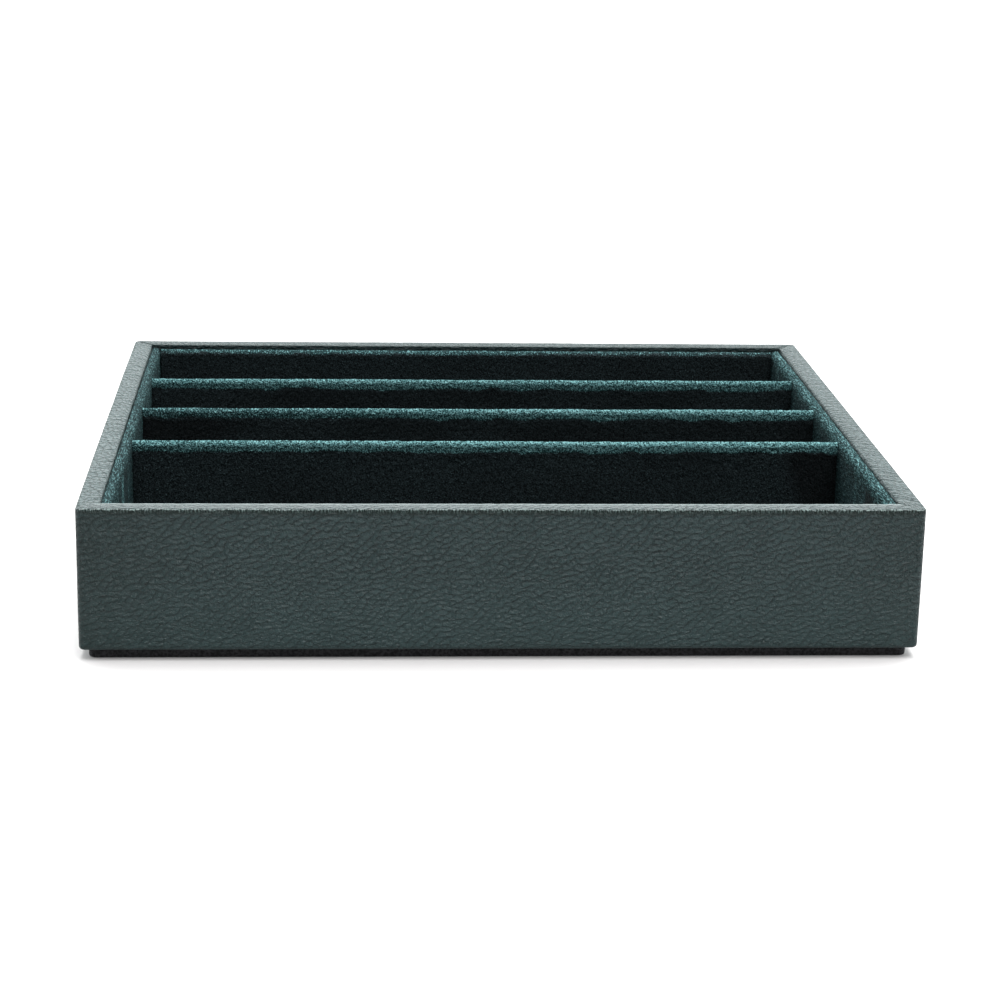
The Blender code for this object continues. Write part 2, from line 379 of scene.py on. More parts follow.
def leather_material():
    """Full-grain leather with a soft pebble: two sets of crease rows cross at a
    low angle and close off small lozenges, with fine wrinkles and pores."""
    t = Tree("pebbled_leather")
    at = t.uv("wrap")
    slow = t.vmath("SUBTRACT", t.noise(at, 60.0, 1.0, 0.5, dims="2D", out="Color"), (0.5, 0.5, 0.5))
    wobble = t.vmath("SUBTRACT", t.noise(at, 900.0, 2.0, 0.5, dims="2D", out="Color"), (0.5, 0.5, 0.5))
    warped = t.vmath("ADD", at, t.vmath("SCALE", wobble, scale=0.0009))
    warped = t.vmath("ADD", warped, t.vmath("SCALE", slow, scale=0.0025))

    # Two sets of rows, about 2 mm apart.
    rows = ((212.0, 0.70, 122.0, -0.1, 0.2, 1.0), (238.0, 0.74, 84.0, -0.1, 0.2, 0.9))
    height = None
    for k, (scale, run, turn, lo, hi, deep) in enumerate(rows):
        phase, strength = t.gabor(t.mapping(warped, location=(0.37 * k, 0.11 * k, 0.0)), scale, run, turn)
        scaly = t.math("MULTIPLY", t.step(phase, 0.0, 0.11), t.step(phase, 0.11, 1.0, 1.0, 0.44))
        row = t.math("MULTIPLY_ADD", t.math("SUBTRACT", scaly, 1.0), t.step(strength, lo, hi, 0.0, deep), 1.0)
        height = row if height is None else t.math("MINIMUM", height, row)
    depth = t.step(t.noise(t.leaned(at, 8.0, 200.0, 280.0), 1.0, 1.0, 0.5, dims="2D"), -0.2, 0.4)
    # The grain is pulled flatter towards the walls' foot.
    flat = t.step(t.split(at)[1], 0.022, 0.055, 0.42, 1.0)
    crease = t.math("MULTIPLY", t.step(height, 0.12, 0.73, 1.0, 0.0), t.math("MULTIPLY", depth, flat))

    # Where the band turns over the walls' outer edge it is painted darker, in uneven patches: painted shade of the
    # roll, which faces away from the bright floor; the same mask also darkens it towards the upright corners.
    fold = t.new("ShaderNodeAttribute", attribute_name="fold").outputs["Fac"]
    roll_shade_and_dark_corners = t.noise(t.mapping(at, scale=(190.0, 120.0, 1.0)), 1.0, 2.0, 0.6, dims="2D")
    roll_shade_and_dark_corners = t.math("MULTIPLY", t.step(roll_shade_and_dark_corners, 0.30, 0.62, 0.65, 1.0), fold)
    # The very edge is worn into short nicks across the fold. Their ridges are painted light, a painted highlight,
    # and the hollows between are painted dark, painted shade.
    edge = t.new("ShaderNodeAttribute", attribute_name="edge").outputs["Fac"]
    nick = t.noise(t.mapping(at, scale=(1600.0, 380.0, 1.0)), 1.0, 2.0, 0.6, dims="2D")
    nick_highlight = t.math("MULTIPLY", t.step(nick, 0.50, 0.62), edge)
    nick_shade = t.math("MULTIPLY", t.step(nick, 0.38, 0.52, 1.0, 0.0), edge)

    pores = t.noise(at, 1500.0, 2.0, 0.6, dims="2D")
    wrinkle = t.noise(t.leaned(at, 15.0, 500.0, 1000.0), 1.0, 1.0, 0.5, dims="2D")
    height = t.math("MULTIPLY", height, t.math("MULTIPLY_ADD", depth, 0.6, 0.5))
    height = t.math("MULTIPLY_ADD", pores, 0.42, height)
    height = t.math("MULTIPLY_ADD", wrinkle, 0.6, height)
    height = t.math("MULTIPLY", height, flat)
    # Along the side rims it is bunched up into short ripples.
    rim = t.new("ShaderNodeAttribute", attribute_name="rim").outputs["Fac"]
    height = t.math("MULTIPLY", height, t.math("MULTIPLY_ADD", rim, -0.50, 1.0))
    # The front's inner edge is stretched smooth and shines a little; its colour is also painted lighter there, a
    # painted highlight.
    lip = t.new("ShaderNodeAttribute", attribute_name="lip").outputs["Fac"]
    height = t.math("MULTIPLY", height, t.math("MULTIPLY_ADD", lip, -0.60, 1.0))
    ripple = t.noise(t.mapping(at, scale=(430.0, 150.0, 1.0)), 1.0, 1.5, 0.55, dims="2D")
    height = t.math("MULTIPLY_ADD", t.math("MULTIPLY", ripple, rim), 1.0, height)
    height = t.math("MULTIPLY_ADD", t.math("MULTIPLY", nick, edge), 0.9, height)

    tone = t.noise(at, 45.0, 3.0, 0.55, dims="2D")
    base = t.mix(t.step(tone, 0.3, 0.7), (0.0239, 0.0466, 0.0481), (0.0273, 0.0522, 0.0539))
    base = t.mix(t.step(pores, 0.54, 0.72, 0.0, 0.32), base, (0.0120, 0.0320, 0.0330))
    # Painted shade: the creases are coloured darker, partly the grain's own darker colour there and partly the
    # shade of the hollows.
    base = t.mix(crease, base, (0.0006, 0.0050, 0.0050))
    # Painted shade: the walls are coloured darker towards their foot.
    base = t.mix(t.step(t.split(at)[1], 0.020, 0.052, 0.20, 0.0), base, (0.0060, 0.0200, 0.0190))
    # Painted shade under the roll of the outer edge, and darker towards the upright corners.
    base = t.mix(roll_shade_and_dark_corners, base, (0.0035, 0.0140, 0.0125))
    # Painted shade in the nicks' hollows, and a painted highlight on their ridges.
    base = t.mix(nick_shade, base, (0.0035, 0.0130, 0.0110))
    base = t.mix(t.math("MULTIPLY", nick_highlight, 0.85), base, (0.150, 0.225, 0.210))
    # Painted highlight: the front's inner edge is coloured lighter.
    base = t.mix(t.math("MULTIPLY", lip, 0.65), base, (0.100, 0.150, 0.150))
    t.link(base, t.shader.inputs["Base Color"])
    rough = t.math("MULTIPLY_ADD", pores, 0.18, 0.31)
    rough = t.math("MULTIPLY_ADD", crease, 0.16, rough)
    rough = t.math("MULTIPLY_ADD", nick_shade, 0.45, rough)
    rough = t.math("MULTIPLY_ADD", lip, -0.12, rough)
    rough = t.math("MULTIPLY_ADD", rim, 0.045, rough)
    t.link(rough, t.shader.inputs["Roughness"])
    t.shader.inputs["IOR"].default_value = 1.5
    t.shader.inputs["Specular IOR Level"].default_value = 0.30
    t.link(t.bump(height, 0.00220, 1.0), t.shader.inputs["Normal"])
    return t.mat


def suede_material(name, grain, drawn, sheen, gain, level_at, shadow):
    """Short nap that lies two ways.  The mesh says how bright the nap is painted: partly how it lies, partly
    painted light on the tops that face the lamps and painted shade on the faces.  Where it is bright the tufts are
    teal, and elsewhere almost black."""
    t = Tree(name)
    # Drawn out along the way it is brushed, then turned off the walls' planes.
    at = t.mapping(t.place(), rotation=(0.62, 0.35, 0.81), scale=(1.0, drawn, 1.0))
    across = t.mapping(t.place(), rotation=(0.62, 0.35, 0.81), scale=(1.0, 0.35, 1.0))
    nap_and_light = t.new("ShaderNodeAttribute", attribute_name="nap_and_light").outputs["Fac"]
    speck = t.noise(at, grain, 1.0, 0.5)
    tuft = t.noise(across, 720.0, 2.0, 0.55)
    shade = t.noise(at, 1100.0, 2.0, 0.6)
    reach = t.math("MULTIPLY_ADD", tuft, 0.9, -0.45)
    # Painted light and shade: the mesh's value lifts the tufts to teal on the tops and leaves the faces dark.
    reach = t.math("ADD", reach, nap_and_light)
    level = t.math("MULTIPLY_ADD", reach, -0.24, level_at)
    lit = t.math("DIVIDE", t.math("SUBTRACT", speck, t.math("SUBTRACT", level, 0.02)), 0.10, clamp=True)
    low, high, dull = ([gain * v for v in c] for c in ((0.049, 0.125, 0.131), (0.157, 0.310, 0.320), (0.063, 0.105, 0.110)))
    bright = t.mix(t.step(shade, 0.32, 0.68), low, high)
    bright = t.mix(t.step(nap_and_light, 0.0, 0.45), dull, bright)
    fine = t.step(t.math("MULTIPLY_ADD", shade, 0.3, t.math("MULTIPLY", speck, 0.7)), 0.36, 0.66)
    dark = t.mix(fine, (0.0030, 0.0045, 0.0052), shadow)
    black = t.mix(fine, (0.0022, 0.0027, 0.0030), (0.0120, 0.0150, 0.0165))
    # Painted shade: where the mesh's value is lowest, on the divider faces, the nap is almost black, partly its
    # own dark colour.
    dark = t.mix(t.step(nap_and_light, -0.80, -0.20), black, dark)
    dark = t.mix(t.step(nap_and_light, 0.05, 0.7), dark, (0.0085, 0.0300, 0.0320))
    base = t.mix(lit, dark, bright)
    t.link(base, t.shader.inputs["Base Color"])
    t.shader.inputs["Roughness"].default_value = 0.95
    t.shader.inputs["Specular IOR Level"].default_value = 0.08
    t.shader.inputs["Sheen Weight"].default_value = sheen
    t.shader.inputs["Sheen Roughness"].default_value = 0.35
    t.shader.inputs["Sheen Tint"].default_value = (0.22, 0.62, 0.66, 1.0)
    height = t.math("MULTIPLY_ADD", speck, 0.8, tuft)
    t.link(t.bump(height, 0.0010, 1.0), t.shader.inputs["Normal"])
    return t.mat


def pad_material():
    """Black pad cover, a close short-piled cloth."""
    t = Tree("pad_cloth")
    at = t.place()
    pile = t.noise(at, 1150.0, 3.0, 0.6)
    patch = t.noise(at, 60.0, 2.0, 0.5)
    base = t.mix(t.step(pile, 0.38, 0.62), (0.0090, 0.0090, 0.0098), (0.038, 0.038, 0.041))
    base = t.mix(t.step(patch, 0.3, 0.7, 0.0, 0.25), base, (0.022, 0.022, 0.024))
    t.link(base, t.shader.inputs["Base Color"])
    t.shader.inputs["Roughness"].default_value = 0.9
    t.shader.inputs["Specular IOR Level"].default_value = 0.2
    t.shader.inputs["Sheen Weight"].default_value = 0.15
    t.shader.inputs["Sheen Roughness"].default_value = 0.5
    t.shader.inputs["Sheen Tint"].default_value = (0.5, 0.55, 0.6, 1.0)
    t.link(t.bump(pile, 0.0004, 1.0), t.shader.inputs["Normal"])
    return t.mat


def board_material():
    """Fibreboard: pressed fine fibre, with darker cut edges."""
    t = Tree("fibreboard")
    at = t.place()
    fibre = t.noise(t.mapping(at, scale=(1.0, 1.0, 3.0)), 900.0, 4.0, 0.65)
    cloud = t.noise(at, 40.0, 3.0, 0.5)
    base = t.mix(t.step(fibre, 0.3, 0.7), (0.26, 0.175, 0.10), (0.40, 0.285, 0.175))
    base = t.mix(t.step(cloud, 0.3, 0.7, 0.0, 0.3), base, (0.30, 0.20, 0.12))
    t.link(base, t.shader.inputs["Base Color"])
    t.link(t.math("MULTIPLY_ADD", fibre, 0.2, 0.7), t.shader.inputs["Roughness"])
    t.link(t.bump(fibre, 0.0001, 0.6), t.shader.inputs["Normal"])
    return t.mat


def card_material():
    """Grey card, with flecks of its pulp."""
    t = Tree("grey_card")
    at = t.place()
    pulp = t.noise(at, 700.0, 4.0, 0.7)
    fleck = t.step(t.noise(at, 380.0, 1.0, 0.4), 0.66, 0.72)
    base = t.mix(t.step(pulp, 0.3, 0.7), (0.25, 0.235, 0.21), (0.36, 0.34, 0.30))
    base = t.mix(t.math("MULTIPLY", fleck, 0.5), base, (0.14, 0.13, 0.12))
    t.link(base, t.shader.inputs["Base Color"])
    t.link(t.math("MULTIPLY_ADD", pulp, 0.15, 0.75), t.shader.inputs["Roughness"])
    t.link(t.bump(pulp, 0.00008, 0.6), t.shader.inputs["Normal"])
    return t.mat


LEATHER = leather_material()
SUEDE = suede_material("suede_nap", 2100.0, 0.30, 0.12, 1.0, 0.66, (0.0260, 0.0385, 0.0425))
SUEDE_FLOOR = suede_material("suede_nap_floor", 1900.0, 0.55, 0.08, 0.42, 0.60, (0.0120, 0.0300, 0.0325))
# The side walls get their own copy of the suede, with less sheen and a darker shade colour, so that they stay dark
# where they are seen edge-on: a shaded copy, painted shade.
SUEDE_SIDE = suede_material("suede_nap_sides", 2700.0, 0.15, 0.04, 0.82, 0.61, (0.0140, 0.0345, 0.0375))
PAD = pad_material()
BOARD = board_material()
CARD = card_material()

for node_name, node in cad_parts.items():
    chosen = CARD if node_name.endswith("_card") or node_name == "base_pad_board" else BOARD
    node.data.materials.clear()
    node.data.materials.append(chosen)


# --------------------------------------------------------------------- the leather

def around(step, fine, fine_step, arc_n):
    """Columns round the tray, counter-clockwise from the middle of the back.

    Each column is (side, u, angle): side 0 right, 1 back, 2 left, 3 front, u
    along the side in -1..1, or an angle round the corner that follows it.  step
    has the spacing for each side.
    """
    half = {0: HALF_D, 1: HALF_W, 2: HALF_D, 3: HALF_W}
    columns = []
    for side in range(4):
        reach = half[side] - R_UPRIGHT
        stations = spaced(-reach, reach, step[side], fine, fine_step) / reach
        columns += [(side, u, None) for u in stations[:-1]]
        columns += [(side, 1.0, 90.0 * k / arc_n) for k in range(arc_n)]
    return columns


def ring_point(columns, inset, radius):
    """World XY and the outward direction of every column at every inset."""
    inset = np.asarray(inset, float)
    r = np.maximum(radius - inset, 0.12 * MM)
    lx, ly = HALF_W - inset - r, HALF_D - inset - r
    x = np.zeros((len(columns), len(inset)))
    y = np.zeros_like(x)
    ox, oy = np.zeros(len(columns)), np.zeros(len(columns))
    for k, (side, u, angle) in enumerate(columns):
        turn = math.radians(90 * side)
        along = ly if side % 2 == 0 else lx
        across = lx if side % 2 == 0 else ly
        a = 0.0 if angle is None else math.radians(angle)
        local_out = across + r * math.cos(a)
        local_run = along * u + r * math.sin(a)
        c, s = math.cos(turn), math.sin(turn)
        x[k], y[k] = local_out * c - local_run * s, local_out * s + local_run * c
        ox[k], oy[k] = math.cos(turn + a), math.sin(turn + a)
    return x, y, ox, oy


def roll_profile(top):
    """The outer edge, from the upright face to the rim: a slight lean over the
    first part, then a tight turn.  It ends at the rim's crown line."""
    points = [(0.0, 0.0)]
    steps = [(0.24 * MM, 5.0 * (k + 0.5) / 8) for k in range(8)]
    steps += [(0.36 * MM / 6, 5.0 + (86.0 - 5.0) * (k + 0.5) / 6) for k in range(6)]
    for ds, lean in steps:
        a = math.radians(lean)
        x, z = points[-1]
        points.append((x + ds * math.sin(a), z + ds * math.cos(a)))
    lift = top - CROWN - points[-1][1]
    return [(x, z + lift) for x, z in points]


def leather_section():
    s = Section()
    top, foot = RIM_Z, FOOT_Z
    tuck, turn = 20.0 * MM, 22.0 * MM
    t = 1.0 * MM
    s.line((tuck, foot), (R_FOOT + 4 * MM, foot), 6 * MM, 0.0)
    s.line((R_FOOT + 4 * MM, foot), (R_FOOT, foot), 1.3 * MM, 0.6)
    s.arc((R_FOOT, foot + R_FOOT), R_FOOT, 270, 180, 4, 1.0)
    roll = roll_profile(top)
    low = roll[0][1]
    s.line((0, foot + R_FOOT), (0, low - 3 * MM), 1.02 * MM, 1.0)
    s.line((0, low - 3 * MM), (0, low), 0.75 * MM, 1.0)
    for a, b in roll[:-1]:
        s.add(a, b, 1.0)
    start, end = roll[-1][0], RIM_W - R_TOP_IN
    near = 1.6 * MM / (end - start)
    for u in [near * k / 4 for k in range(4)] + [near + (1 - near) * k / 7 for k in range(7)]:
        s.add(start + (end - start) * u, top - CROWN * (2 * u - 1) ** 2, 1.0)
    center = (end, top - CROWN - R_TOP_IN)
    s.arc(center, R_TOP_IN, 90, 0, 4, 1.0)
    s.line((RIM_W, center[1]), (RIM_W, top - 5 * MM), 0.9 * MM, 0.8)
    s.line((RIM_W, top - 5 * MM), (RIM_W, top - turn), 9 * MM, 0.0)
    s.line((RIM_W, top - turn), (RIM_W - t, top - turn), t, 0.0)
    s.line((RIM_W - t, top - turn), (RIM_W - t, top - t), 11 * MM, 0.0)
    s.line((RIM_W - t, top - t), (t, top - t), 6 * MM, 0.0)
    s.line((t, top - t), (t, foot + t), 12 * MM, 0.0)
    s.line((t, foot + t), (tuck, foot + t), 10 * MM, 0.0)
    s.line((tuck, foot + t), (tuck, foot), t, 0.0)
    return s


def build_leather():
    # The columns are closest along the front, where the worn edge shows most.
    columns = around((1.2 * MM, 1.4 * MM, 1.2 * MM, 0.5 * MM), 7 * MM, 0.42 * MM, 6)
    p, w, normal, run = leather_section().arrays()
    x, y, ox, oy = ring_point(columns, p[:, 0], R_UPRIGHT)
    n, m = len(columns), len(p)
    z = np.repeat(p[None, :, 1], n, 0)
    base = np.stack([x, y, z], -1)
    out = np.stack([-normal[None, :, 0] * ox[:, None],
                    -normal[None, :, 0] * oy[:, None],
                    np.repeat(normal[None, :, 1], n, 0)], -1)

    # Slow waviness of the covered boards and the soft swell of the grain.
    move = 0.08 * MM * fbm(base, 38 * MM, 2, 3) + 0.014 * MM * fbm(base, 6 * MM, 2, 5)
    move = move + 0.012 * MM * noise3(base, 2.3 * MM, 7) - 0.10 * MM

    # The long edges are pulled over the boards unevenly.
    inset = np.repeat(p[None, :, 0], n, 0)
    near_top = smooth(z, RIM_Z - 2.2 * MM, RIM_Z - 0.2 * MM)
    outer_edge = near_top * (1 - smooth(inset, 1.0 * MM, 2.6 * MM))
    inner_edge = near_top * smooth(inset, RIM_W - 2.0 * MM, RIM_W - 0.8 * MM)
    front = (base[..., 1] < 0) * smooth(HALF_W - np.abs(base[..., 0]), -0.1 * MM, 1.5 * MM) * (HALF_D + base[..., 1] < 9 * MM)
    move = move + MM * outer_edge * (0.03 + 0.04 * front) * fbm(base, 3.1 * MM, 2, 11)
    move = move + MM * outer_edge * (0.02 + 0.10 * front) * noise3(base, 1.5 * MM, 12)
    move = move + 0.06 * MM * inner_edge * noise3(base, 2.2 * MM, 13)

    # The side rims roll over more at their inner edge and are rippled across.
    from_side = HALF_W - np.abs(base[..., 0])
    from_end = HALF_D - np.abs(base[..., 1])
    side_rim = smooth(from_end - from_side, 0, 7 * MM) * smooth(z, RIM_Z - 1.6 * MM, RIM_Z - 0.8 * MM)
    move = move - 0.36 * MM * side_rim * smooth(inset, RIM_W - 2.0 * MM, RIM_W - 0.1 * MM)
    ripple = side_rim * smooth(inset, 0.8 * MM, 2.4 * MM) * fbm(base, (5.5 * MM, 2.5 * MM, 4.0 * MM), 2, 17)
    move = move + 0.10 * MM * ripple
    side_rim = side_rim * (inset < RIM_W + 0.1 * MM)

    # Mitre folds on the rim: a cut line from the inner corner outwards, with
    # one side of the fold a little proud of the other.
    off = (from_side - from_end) / math.sqrt(2)
    along = (from_side + from_end) / 2
    on_rim = smooth(z, RIM_Z - 1.6 * MM, RIM_Z - 0.8 * MM)
    right, rear = base[..., 0] > 0, base[..., 1] > 0
    start = np.where(rear, np.where(right, 3.0 * MM, 0.6 * MM), np.where(right, 4.6 * MM, 6.8 * MM))
    strength = np.where(rear, np.where(right, 0.8, 1.0), np.where(right, 0.95, 0.35))
    fold = on_rim * smooth(along, start, start + 1.6 * MM) * (along < 16 * MM) * strength
    move = move - 0.38 * MM * fold * np.exp(-(off / (0.33 * MM)) ** 2)
    move = move + 0.13 * MM * fold * np.where(off > 0, 1, 0) * np.exp(-np.abs(off) / (2.5 * MM))

    verts = base + out * (move * w[None, :])[..., None]

    # Along the front the edge is worn down in many short nicks.
    nick = noise3(base, (0.70 * MM, 30 * MM, 30 * MM), 19)
    worn = np.clip(0.42 + 0.80 * nick, 0, 1) * (0.75 + 0.45 * noise3(base, (9 * MM, 30 * MM, 30 * MM), 21))
    verts[..., 2] -= 0.52 * MM * front * worn * near_top * (1 - smooth(inset, 0.05 * MM, 1.8 * MM))

    # The side walls draw in very slightly towards their corners.
    drawn = np.clip((base[..., 1] / HALF_D) ** 2, 0, 1)
    verts[..., 0] += np.where(base[..., 0] < 0, 0.24, -0.05) * MM * drawn * (from_side < 30 * MM)

    perimeter = np.concatenate([[0], np.cumsum(np.hypot(np.diff(x[:, 30]), np.diff(y[:, 30])))])
    total = perimeter[-1] + math.hypot(x[0, 30] - x[-1, 30], y[0, 30] - y[-1, 30])
    quads = grid_quads(n, m, True, True)
    i = np.repeat(np.arange(n), m)
    j = np.tile(np.arange(m), n)
    s0 = perimeter[i]
    s1 = np.where(i + 1 < n, perimeter[(i + 1) % n], total)
    lap = np.append(run, run[-1] + 1.0 * MM)
    t0, t1 = lap[j], lap[j + 1]
    uv = np.stack([np.stack([s0, t0], -1), np.stack([s1, t0], -1),
                   np.stack([s1, t1], -1), np.stack([s0, t1], -1)], 1)
    obj = make_object("leather_band", verts.reshape(-1, 3), quads, uv=uv.reshape(-1, 2))
    # fold marks where the band under its outer top edge is painted darker in the shader: painted shade of the
    # roll.
    depth = RIM_Z - base[..., 2] + 0.35 * MM * fbm(base, 5 * MM, 2, 15)
    fold = (inset < 1.5 * MM) * (1 - smooth(depth, 1.5 * MM, 2.9 * MM)) * (1 - smooth(inset, 0.4 * MM, 0.9 * MM))
    # It is darker towards the upright corners.
    corner = np.maximum(np.abs(base[..., 0]) - HALF_W, -from_side) + np.maximum(np.abs(base[..., 1]) - HALF_D, -from_end)
    fold = np.maximum(fold, np.where(right, 0.38, 0.66) * np.exp(corner / (24 * MM)) * (inset < 0.9 * MM))
    edge = np.exp(-(inset / (1.1 * MM)) ** 2 - ((RIM_Z - base[..., 2]) / (0.95 * MM)) ** 2) * (0.15 + 0.85 * front)
    lip = front * near_top * smooth(inset, RIM_W - 2.0 * MM, RIM_W - 1.0 * MM)
    for name, values in (("fold", fold), ("rim", side_rim), ("edge", edge), ("lip", lip)):
        layer = obj.data.attributes.new(name, "FLOAT", "POINT")
        layer.data.foreach_set("value", values.astype(np.float32).ravel())
    obj.data.materials.append(LEATHER)
    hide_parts("leather_wrap")
    return obj


leather = build_leather()
# The band's faces point out of the leather's body.
_bm = bmesh.new()
_bm.from_mesh(leather.data)
if _bm.calc_volume(signed=True) < 0:
    bmesh.ops.reverse_faces(_bm, faces=_bm.faces)
    _bm.to_mesh(leather.data)
_bm.free()


# -------------------------------------------------------------------- the suede

def nap(points, seed, coarse=1.0):
    """How far the nap stands proud: slow waves, tufts and single fibres."""
    wave = 0.10 * MM * fbm(points, 26 * MM, 2, seed)
    tuft = 0.11 * MM * fbm(points, 1.9 * MM, 2, seed + 3)
    fibre = 0.14 * MM * noise3(points, 0.55 * MM, seed + 7)
    return (wave + tuft + fibre) * coarse - 0.13 * MM


def band(x, lo, hi, soft=1.6 * MM):
    """1 between lo and hi, 0 outside."""
    return smooth(x, lo - soft, lo + soft) * (1 - smooth(x, hi - soft, hi + soft))


def brushed(p, marks, seed):
    """Upright brush marks on a wall, each (front, back, how the nap lies)."""
    lean = 1.6 * MM * fbm(p, 22 * MM, 2, seed)
    y = p[..., 1] + lean
    nap_and_light = np.zeros(y.shape)
    total = np.zeros(y.shape)
    for lo, hi, value in marks:
        w = band(y, lo * MM, hi * MM)
        nap_and_light += w * value
        total += w
    return nap_and_light, np.clip(total, 0, 1) * smooth(p[..., 2], 16 * MM, 38 * MM)


LEFT_MARKS = ((-52, -34, 0.0), (-72, -55, -0.50), (-81, -73, 0.40), (-87, -81, 0.10), (-92, -87, -0.40),
              (-112, -92, 0.14), (-118, -112, -0.25), (-124, -118, 0.18))
RIGHT_MARKS = ((-66, -34, -0.04), (-85, -66, 0.20), (-101, -87, -0.75), (-124, -101, 0.20))


def wall_nap_and_light(side):
    """How bright the nap of a lining is painted: light along its top, partly painted light where the top faces the
    lamps, and brushed both ways below."""
    def nap_and_light(p):
        below = LINING_TOP - p[..., 2] + 1.3 * MM * fbm(p, (7 * MM, 7 * MM, 5 * MM), 3, 61)
        # Painted light: the strip along the top is painted lighter.
        if side == "back":
            top = (0.86 - 0.10 * smooth(p[..., 0], -0.02, 0.10)) * (1 - smooth(below, 0.6 * MM, 2.6 * MM))
        else:
            top = 1 - smooth(below, 2.6 * MM, 4.6 * MM)
        patch = fbm(p, 24 * MM, 3, 67)
        streak = fbm(p, (6 * MM, 6 * MM, 40 * MM), 2, 71)
        if side in ("left", "right"):
            marks = LEFT_MARKS if side == "left" else RIGHT_MARKS
            brushed_lay, share = brushed(p, marks, 73)
            # The left wall's face is painted a little lighter than the right's: painted light, as it faces the
            # lamps.
            plain = (0.06 if side == "left" else 0.0) + 0.35 * streak + 0.25 * patch
            face = plain + (brushed_lay - plain) * share + 0.15 * streak * share
            lit = 0.22 if side == "left" else 0.32
        else:
            face = -0.30 + 0.30 * patch
            lit = 0.52
        return np.clip(face + (lit - face) * top, -1.0, 1.2)
    return nap_and_light


# For each divider, how bright its nap is painted: on its top at the left and at the right, partly painted light,
# on its faces, and how much more at their left end and less at their right end.
DIVIDER_NAP_AND_LIGHT = {"front": (0.80, 0.94, -0.32, 0.10, 0.60), "middle": (0.42, 0.86, -0.50, -0.25, 0.0),
               "rear": (0.76, 0.76, -0.44, 0.10, 0.0)}


def divider_nap_and_light(name, top_z, seed):
    """Along a divider's top the nap is painted light, down over both shoulders to an uneven edge: partly the nap
    lying lighter there, partly painted light where the top faces the lamps. Its faces are painted dark, partly
    painted shade, with faint patches."""
    left, right, plain, left_end, right_end = DIVIDER_NAP_AND_LIGHT[name]

    def nap_and_light(p):
        below = top_z - p[..., 2] + 1.2 * MM * fbm(p, (8 * MM, 6 * MM, 6 * MM), 3, seed)
        top = 1 - smooth(below, 3.2 * MM, 5.2 * MM)
        crown = 1 - smooth(below, 0.1 * MM, 1.2 * MM)
        patch = fbm(p, (38 * MM, 20 * MM, 26 * MM), 3, seed + 5)
        face = plain + 0.30 * patch + left_end * (1 - smooth(p[..., 0], -0.135, -0.105))
        face = face - right_end * smooth(p[..., 0] + 0.3 * (p[..., 2] - LINING_FOOT), 0.122, 0.136)
        # Painted light on the top: lighter to the right and along the crown.
        lit = left + (right - left) * smooth(p[..., 0], -0.13, 0.05) + 0.06 * crown
        return np.clip(face + (lit - face) * top, -1.0, 1.25)
    return nap_and_light


def lining_section():
    """Across is measured inwards from the leather's outer face."""
    s = Section()
    face, back, top, foot = LINING_FACE, LINING_BACK, LINING_TOP, LINING_FOOT
    r, t = 2.3 * MM, 0.8 * MM
    turn = 14 * MM
    s.line((face, foot + 0.4 * MM), (face, FLOOR_TOP), 3 * MM, 0.0)
    s.line((face, FLOOR_TOP), (face, top - 9 * MM), 1.2 * MM, 0.75)
    s.line((face, top - 9 * MM), (face, top - r), 0.45 * MM, 1.0)
    s.arc((face - r, top - r), r, 0, 90, 9, 1.0)
    s.line((face - r, top), (back + 0.5 * MM, top), 0.4 * MM, 1.0)
    s.arc((back + 0.5 * MM, top - 0.5 * MM), 0.5 * MM, 90, 180, 4, 0.8)
    s.line((back, top - 0.5 * MM), (back, top - turn), 6 * MM, 0.0)
    s.line((back, top - turn), (back + t, top - turn), t, 0.0)
    s.line((back + t, top - turn), (back + t, top - 1.7 * MM), 12 * MM, 0.0)
    s.line((back + t, top - 1.7 * MM), (face - r, top - 1.7 * MM), 2 * MM, 0.0)
    s.line((face - r, top - 1.7 * MM), (face - t, top - r - 0.6 * MM), 1.2 * MM, 0.0)
    s.line((face - t, top - r - 0.6 * MM), (face - t, foot + t), 15 * MM, 0.0)
    s.line((face - t, foot + t), (back + t, foot + t), 2 * MM, 0.0)
    s.line((back + t, foot + t), (back + t, foot + turn), 12 * MM, 0.0)
    s.line((back + t, foot + turn), (back, foot + turn), t, 0.0)
    s.line((back, foot + turn), (back, foot + 0.4 * MM), 12 * MM, 0.0)
    s.line((back, foot + 0.4 * MM), (back + 0.4 * MM, foot), 1 * MM, 0.0)
    s.line((back + 0.4 * MM, foot), (face - 0.4 * MM, foot), 3 * MM, 0.0)
    s.line((face - 0.4 * MM, foot), (face, foot + 0.4 * MM), 1 * MM, 0.0)
    return s


def build_linings():
    section = lining_section()
    for k, name in enumerate(("left", "right", "front", "back")):
        node = name + "_lining_suede"
        lo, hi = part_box(node)
        if name in ("left", "right"):
            sign = -1 if name == "left" else 1
            ends = (lo.y, hi.y)

            def place(a, s, z, sign=sign):
                # Along the sides the nap stands up against the band.
                rise = (1.10 if sign < 0 else 0.80) * MM * smooth(z, LINING_TOP - 9 * MM, LINING_TOP - 1.5 * MM)
                rise = rise * (1 - 0.6 * smooth(s, 0.090, 0.125))
                return np.stack([sign * (HALF_W - a), s, z + rise], -1)
        else:
            sign = -1 if name == "front" else 1
            ends = (lo.x, hi.x)

            def place(a, s, z, sign=sign):
                return np.stack([s, sign * (HALF_D - a), z], -1)

        stations = spaced(ends[0], ends[1], 0.45 * MM)
        obj = run_piece(name + "_suede_lining", section, stations, place,
                        lambda p, w, s, k=k: nap(p, 40 + 11 * k), nap_and_light=wall_nap_and_light(name))
        obj.data.materials.append(SUEDE_SIDE if name in ("left", "right") else SUEDE)
        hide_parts(node)


